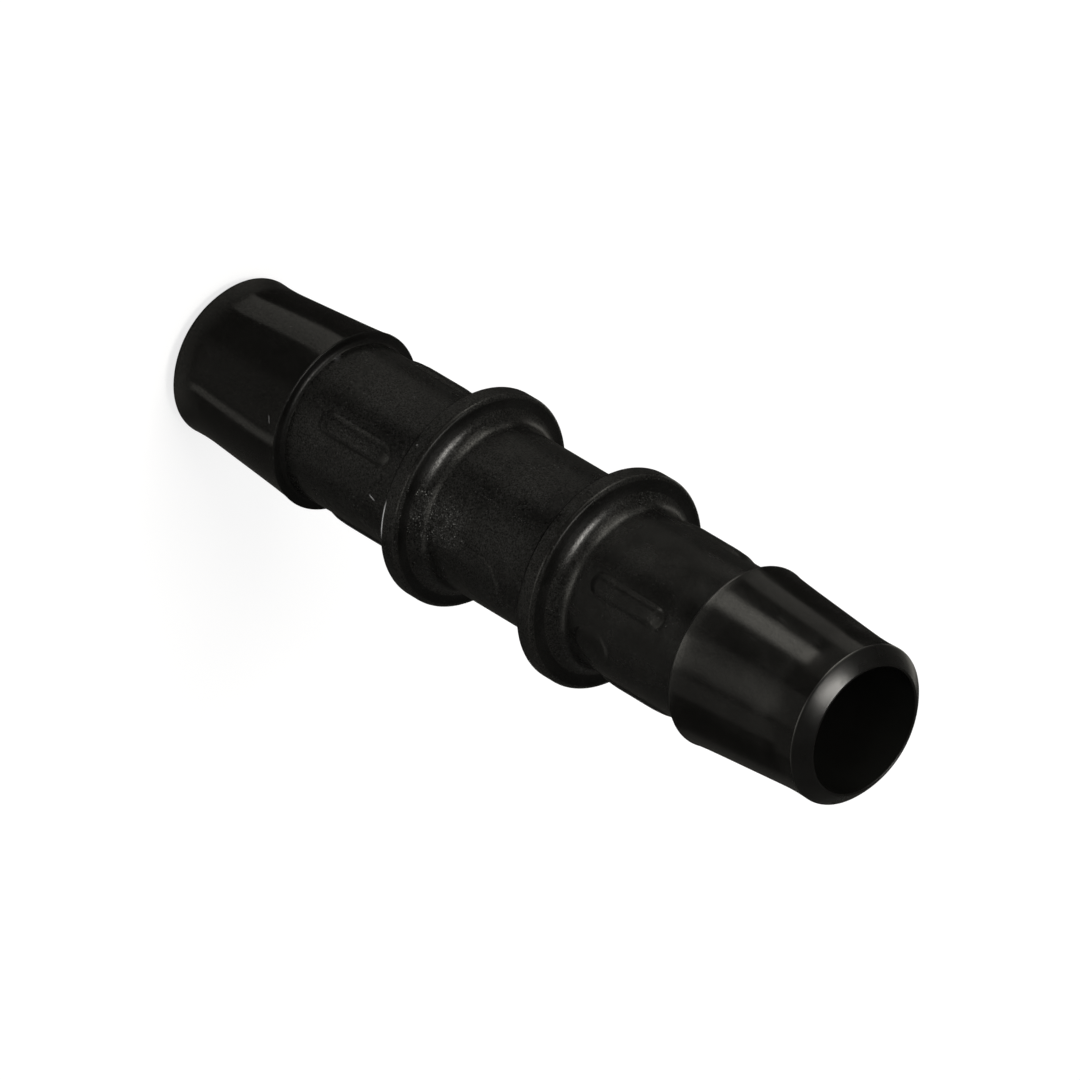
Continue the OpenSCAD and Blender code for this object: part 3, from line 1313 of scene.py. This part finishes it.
@dataclass(frozen=True)
class MirrorCard:
    """A flat card laid where a stretch of a wall mirrors the floor for the camera.

    The stretch runs the wall's whole height, between two directions round the axis. It has a tone at its foot
    and one at its top.
    """

    wall: Wall
    start_deg: float
    end_deg: float
    tone: float
    top_tone: float
    soft_deg: float = 0.0
    step_deg: float = 2.0
    rows: int = 8

    def spot(self, height: float, direction_deg: float, eye: Vector, lift_mm: float) -> Vector:
        """Finds the place on the floor that one point of the wall mirrors.

        Args:
            height: Height of the point in mm.
            direction_deg: Direction of the point round the axis, in the photograph's degrees.
            eye: Where the camera stands, in mm.
            lift_mm: How far the card lies above the floor.

        Returns:
            The place in mm.
        """
        _, _, radius, lean_deg = self.wall.value
        turn = math.radians(direction_deg + TURN)
        normal = unit_vector(turn, math.radians(lean_deg))
        point = Vector((radius * math.cos(turn), radius * math.sin(turn), height))
        sight = (eye - point).normalized()
        ray = 2 * normal.dot(sight) * normal - sight
        return point + ray * ((height - lift_mm) / -ray.z)

    def sheet(self, index: int) -> Sheet:
        """Works out the card's corners.

        Args:
            index: Its number, by which it lies a little higher than the ones before.

        Returns:
            The sheet to make the mesh from.
        """
        first, last, _, _ = self.wall.value
        eye = PhotoCamera().place()
        span = SoftSpan(self.start_deg, self.end_deg, self.soft_deg)
        directions = span.directions(self.step_deg)
        made = Sheet(len(directions))
        for i in range(self.rows + 1):
            height = first + (last - first) * i / self.rows
            tone = self.tone + (self.top_tone - self.tone) * i / self.rows
            for direction in directions:
                spot = self.spot(height, direction, eye, CARD_LIFT + index * CARD_STEP)
                made.add(spot, tone, span.cover(direction))
        return made


@dataclass
class Studio:
    """White floor, soft lamps, and the dark tent and cards that the plastic mirrors."""

    floor_mm: float = 3000.0
    shadow_share: float = 0.25
    shadow_gain: float = 1.4
    floor_tone: float = 0.8
    world_level: float = 0.6
    tent_mm: float = 900.0
    tent_tone: float = 0.06
    tent_rows: int = 12
    tent_columns: int = 33
    tent_sink_mm: float = 1.0
    tent_hole_mm: float = 0.01

    def link_sheet(self, name: str, mesh: bpy.types.Mesh, seen: Seen) -> bpy.types.Object:
        """Adds a studio object and sets which rays see it.

        Args:
            name: Its name.
            mesh: Its mesh.
            seen: Which rays see it.

        Returns:
            The object.
        """
        made = add_object(name, mesh)
        made.visible_camera, made.visible_diffuse, made.visible_glossy, made.visible_shadow = seen.value
        if seen is Seen.CARD:
            made.visible_transmission = False
        return made

    def white_sight(self, graph: Graph) -> bpy.types.NodeSocket:
        """Finds the rays that see the background: camera, glossy and transmission.

        Args:
            graph: The material's or the world's graph.

        Returns:
            A mask that is 1 for those rays.
        """
        path = graph.add("ShaderNodeLightPath").outputs
        seen = graph.math("MAXIMUM", path["Is Camera Ray"], path["Is Glossy Ray"])
        return graph.math("MAXIMUM", seen, path["Is Transmission Ray"])

    def floor(self) -> None:
        """Lays the white floor, which keeps the object's shadow."""
        half = self.floor_mm * MM
        mesh = bpy.data.meshes.new("floor")
        corners = [(-half, -half, 0), (half, -half, 0), (half, half, 0), (-half, half, 0)]
        mesh.from_pydata(corners, [], [(0, 1, 2, 3)])
        material, graph = start_material("white floor")
        tones = (self.floor_tone, self.shadow_share * self.shadow_gain)
        plain, lit = (
            graph.node("ShaderNodeBsdfDiffuse", {"Color": (tone, tone, tone, 1)}).outputs[0] for tone in tones
        )
        glow = graph.node("ShaderNodeEmission", {"Strength": 1 - self.shadow_share}).outputs[0]
        white = graph.node("ShaderNodeAddShader", {0: lit, 1: glow}).outputs[0]
        seen = self.white_sight(graph)
        shader = graph.node("ShaderNodeMixShader", {0: seen, 1: plain, 2: white}).outputs[0]
        graph.node("ShaderNodeOutputMaterial", {"Surface": shader})
        mesh.materials.append(material)
        self.link_sheet("floor", mesh, Seen.FLOOR)

    def world(self) -> None:
        """Sets the soft light all round, with a white background."""
        made = bpy.data.worlds.new("studio")
        bpy.context.scene.world = made
        made.use_nodes = True
        graph = Graph(made.node_tree)
        level = graph.mix(self.white_sight(graph), self.world_level, 1.0)
        back = graph.node("ShaderNodeBackground", {"Color": (1, 1, 1, 1), "Strength": level}).outputs[0]
        graph.node("ShaderNodeOutputWorld", {"Surface": back})

    def glow(self) -> bpy.types.Material:
        """Makes the cards' material, which shows each card's tone as far as its cover goes.

        Returns:
            The material.
        """
        material, graph = start_material("card glow")
        tone = graph.add("ShaderNodeAttribute", attribute_name="tone").outputs["Fac"]
        cover = graph.add("ShaderNodeAttribute", attribute_name="cover").outputs["Fac"]
        light = graph.node("ShaderNodeEmission", {"Color": (*CARD_TINT, 1.0), "Strength": tone}).outputs[0]
        clear = graph.add("ShaderNodeBsdfTransparent").outputs[0]
        shader = graph.node("ShaderNodeMixShader", {0: cover, 1: clear, 2: light}).outputs[0]
        graph.node("ShaderNodeOutputMaterial", {"Surface": shader})
        return material

    def tent(self, glow: bpy.types.Material) -> None:
        """Hangs the dark tent that the plastic mirrors above the floor.

        Args:
            glow: The cards' material.
        """
        made = Sheet(self.tent_columns)
        for i in range(self.tent_rows + 1):
            rise = math.pi / 2 * i / self.tent_rows
            radius = max(self.tent_mm * math.cos(rise), self.tent_hole_mm)
            height = self.tent_mm * math.sin(rise) - self.tent_sink_mm
            for j in range(self.tent_columns):
                turn = math.tau * j / (self.tent_columns - 1)
                place = (radius * math.cos(turn), radius * math.sin(turn), height)
                made.add(place, self.tent_tone, 1.0)
        mesh = made.mesh("dark_tent")
        mesh.materials.append(glow)
        self.link_sheet("dark_tent", mesh, Seen.CARD)

    def build(self, lamps: Sequence[SoftLamp], cards: Sequence[Union[RoundCard, MirrorCard]]) -> None:
        """Builds the whole studio.

        Args:
            lamps: The soft lamps.
            cards: The cards round the foot, the lower ones first.
        """
        self.floor()
        self.world()
        glow = self.glow()
        self.tent(glow)
        for index, card in enumerate(cards):
            mesh = card.sheet(index).mesh(f"card_{index}")
            mesh.materials.append(glow)
            self.link_sheet(f"card_{index}", mesh, Seen.CARD)
        for lamp in lamps:
            lamp.build()


LAMPS = (
    SoftLamp(
        "key_lamp",
        azimuth_deg=51,
        elevation_deg=64.5,
        distance_mm=600,
        width_mm=270,
        height_mm=145,
        radiance=12.8,
    ),
)


def flat(inner: float, outer: float, tone: float, outer_tone: float | None = None) -> tuple[Edge, Edge]:
    """Edges of a card that lies flat between two radii in mm, with one tone or a tone at each edge."""
    return ((inner, CARD_LIFT, tone), (outer, CARD_LIFT, tone if outer_tone is None else outer_tone))


def hung(low_deg: float, high_deg: float, tone: float, high_tone: float | None = None) -> tuple[Edge, Edge]:
    """Edges of a card that hangs inside the tent between two elevations seen from the foot.

    Args:
        low_deg: The lower edge's elevation.
        high_deg: The upper edge's elevation.
        tone: The tone at the lower edge.
        high_tone: The tone at the upper edge, where it differs.

    Returns:
        The two edges.
    """
    low, high = math.radians(low_deg), math.radians(high_deg)
    top = tone if high_tone is None else high_tone
    return (
        (HUNG_R * math.cos(low), HUNG_R * math.sin(low), tone),
        (HUNG_R * math.cos(high), HUNG_R * math.sin(high), top),
    )


# Where cards lie over each other, the later one is the one that shows
CARDS = (
    RoundCard(flat(0, 128, 0.04), -90, 270),
    RoundCard(flat(128, 850, 0.05), 180, 286),
    RoundCard(flat(128, 850, 0.6), -74, -44),
    RoundCard(flat(128, 850, 0.05), -44, -18),
    RoundCard(flat(128, 850, 0.4), -18, 180),
    RoundCard(flat(128, 160, 0.1), -18, 180),
    RoundCard(flat(160, 200, 0.1, 3.6), 12, 60, 8),
    RoundCard(flat(200, 350, 3.6, 1.9), 12, 60, 8),
    RoundCard(flat(350, 850, 1.9), 12, 60, 8),
    RoundCard(flat(160, 200, 0.2, 2.4), 99, 136, 8),
    RoundCard(flat(200, 350, 2.4, 1.3), 99, 136, 8),
    RoundCard(flat(350, 850, 1.3, 0.8), 99, 136, 8),
    RoundCard(flat(97, 128, 0.32), -18, 8),
    RoundCard(flat(97, 128, 0.14), 8, 62),
    RoundCard(flat(97, 128, 0.06), 62, 92),
    RoundCard(flat(97, 128, 0.18), 92, 136),
    RoundCard(flat(97, 128, 0.1), 136, 180),
    RoundCard(hung(0, 14, 1.4, 1.0), 12, 60, 8),
    RoundCard(hung(14, 28, 0.9, 0.5), 15, 60, 8),
    RoundCard(hung(28, 38, 0.25, 0.05), 15, 60, 8),
    RoundCard(hung(0, 6, 0.15), 62, 92),
    RoundCard(hung(0, 12, 0.7, 0.4), 99, 136, 8),
    RoundCard(hung(12, 24, 0.2, 0.08), 99, 136, 8),
    RoundCard(hung(0, 18, 0.15, 0.05), 136, 190, 8),
    RoundCard(hung(0, 22, 0.12, 0.06), -70, 0, 8),
    RoundCard(flat(8.3, 9.5, 0.22), 24, 150, 40),
    RoundCard(flat(9.5, 10.8, 0.22, 0.04), 24, 150, 40),
    MirrorCard(Wall.LOWER_BARB, 0, 42, 0.02, 0.02),
    MirrorCard(Wall.LOWER_BARB, 43, 62, 0.31, 0.31, 2),
    MirrorCard(Wall.LOWER_BARB, 90, 121, 0.11, 0.11, 11),
    MirrorCard(Wall.LOWER_BARB, 122.5, 128.5, 0.32, 0.32, 1.5),
    MirrorCard(Wall.BODY, 36, 131, 0.145, 0.08, 4),
    MirrorCard(Wall.BODY, 36, 54, 0.2, 0.08, 4),
    MirrorCard(Wall.BODY, 53, 72, 0.27, 0.02, 4),
    MirrorCard(Wall.BODY, 74, 87, 0.04, 0.0, 5),
    MirrorCard(Wall.BODY, 98, 112, 0.25, 0.04, 6),
    MirrorCard(Wall.UPPER_BARB, 0, 180, 0.02, 0.02),
    MirrorCard(Wall.UPPER_BARB, 158, 175, 0.05, 0.05, 6),
    MirrorCard(Wall.UPPER_BARB, 33.5, 47, 0.33, 0.33, 3),
    MirrorCard(Wall.UPPER_BARB, 60, 71.5, 1.65, 1.65, 5),
    MirrorCard(Wall.UPPER_BARB, 91, 113, 0.24, 0.24, 5),
    MirrorCard(Wall.UPPER_BARB, 100, 110, 0.38, 0.38, 8),
    MirrorCard(Wall.UPPER_BARB, 118, 131, 0.17, 0.17, 3),
)

# A painted shade line along each collar's lower edge, painted shade along the pads' edges, a painted
# highlight on the lower collar's lower edge, then the scratches, nicks, smudges and a light dot
BODY_MARKS_AND_PAINTED_LIGHT = (
    # Painted shade: dark lines along the lower edges of both collars
    Stroke(32.66, 62.0, 27.0, 0.5, 90, 0.0),
    Stroke(50.98, 60.0, 30.0, 0.55, 90, 0.0),
    # Painted shade: dark lines along the middle pad's edge
    Stroke(42.9, 113.8, 3.6, 0.16, 0, 0.0),
    Stroke(40.75, 118.3, 2.6, 0.16, -48, 0.0),
    Stroke(28.45, 120.5, 1.0, 0.13, 24, 0.3),
    # Painted shade: a dark line along the neck pad's edge, beside the scratch
    Stroke(28.3, 119.0, 0.9, 0.1, 24, 0.0),
    Stroke(26.85, 43.7, 0.75, 0.2, 42, 0.0),
    Stroke(26.5, 42.6, 0.5, 0.22, 42, 0.04),
    # Painted highlight: a bright line on the lower collar's lower edge
    Stroke(32.86, 117.5, 4.4, 0.24, 90, 0.5),
    Stroke(16.75, 47.5, 1.3, 0.6, 50, 0.03),
    Stroke(16.6, 49.0, 0.6, 0.25, -40, 0.06),
    Stroke(33.28, 75.3, 0.24, 0.24, 0, 0.1),
)
BARB_STROKES = (Stroke(14.85, 106.5, 0.95, 0.16, 62, 0.12),)
# Gloss lowered as painted shade: over glints at the ribs' ends, in a dark crescent at each lower rib's lower
# end, along one rib's side, over the highlight on the collars' upper edges and along their lower edges
PAINTED_SHADE_DULLING = (
    Stroke(65.3, 0.0, 1.9, 2.7, 0, 0.3, repeat=4),
    Stroke(28.7, 0.0, 1.8, 2.4, 0, 0.7, repeat=4),
    Stroke(19.95, 0.0, 2.2, 0.5, 90, 0.45, repeat=4),
    Stroke(20.15, -5.7, 1.5, 0.45, -45, 0.5, repeat=4),
    Stroke(20.15, 5.7, 1.5, 0.45, 45, 0.5, repeat=4),
    Stroke(24.6, 97.3, 12.0, 0.4, 0, 0.55),
    Stroke(34.45, 70.0, 10.0, 0.9, 90, 0.3),
    Stroke(52.75, 70.0, 10.0, 0.9, 90, 0.3),
    Stroke(32.66, 62.0, 27.0, 0.5, 90, 0.1),
    Stroke(50.98, 60.0, 30.0, 0.55, 90, 0.1),
)
# Where light specks crowd on the middle, next to the lower collar
PATCH = Stroke(37.6, 108.0, 8.0, 6.0)


def make_skins() -> dict[Skin, bpy.types.Material]:
    """Makes the material of each finish.

    Returns:
        The materials by finish.
    """
    effects = EffectGroup()
    finishes = {
        Skin.BARB: PlasticFinish(
            "smooth barb plastic",
            roughness=0.14,
            roughness_swing=0.02,
            grain_size=6500.0,
            grain_height=0.0025,
            grain_gloss=0.28,
            specks=0.004,
            strokes=BARB_STROKES,
        ),
        Skin.BODY: PlasticFinish(
            "grained body plastic",
            tone=(0.0006, 0.0006, 0.0005),
            worn_tone=(0.013, 0.0127, 0.0112),
            grain_size=6500.0,
            grain_tone=0.87,
            specks=0.28,
            calm_polish=0.12,
            strokes=BODY_MARKS_AND_PAINTED_LIGHT,
            dulled=PAINTED_SHADE_DULLING,
            crowd=PATCH,
        ),
        Skin.BORE: PlasticFinish(
            "drawn bore plastic",
            tone=(0.005, 0.005, 0.0042),
            worn_tone=(0.008, 0.008, 0.007),
            roughness=0.35,
            roughness_swing=0.01,
            grain_height=0.0006,
            grain_gloss=0.0,
            specks=0.0,
        ),
        Skin.LIP: PlasticFinish(
            "turned lip plastic",
            tone=(0.0012, 0.0012, 0.001),
            worn_tone=(0.0028, 0.0027, 0.0024),
            gloss=0.72,
            grain_height=0.002,
            grain_gloss=0.05,
            specks=0.0,
        ),
        Skin.FACE: PlasticFinish(
            "dull face plastic",
            tone=(0.0012, 0.0012, 0.001),
            worn_tone=(0.0055, 0.0054, 0.0048),
            roughness=0.42,
            gloss=0.35,
            grain_gloss=0.1,
            specks=0.02,
        ),
    }
    return {skin: finish.make(effects) for skin, finish in finishes.items()}


def main() -> None:
    """Builds the camera, the connector and the studio in order."""
    bpy.context.scene.view_settings.view_transform = "Standard"
    PhotoCamera().build()
    skins = make_skins()
    piece = MouldedConnector().build(skins)
    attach(piece, BODY)
    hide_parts(NODE)
    log.info("built %s", piece.name)
    Studio().build(LAMPS, CARDS)
    log.info("built the studio with %d lamp and %d cards", len(LAMPS), len(CARDS))


if __name__ == "__main__":
    main()
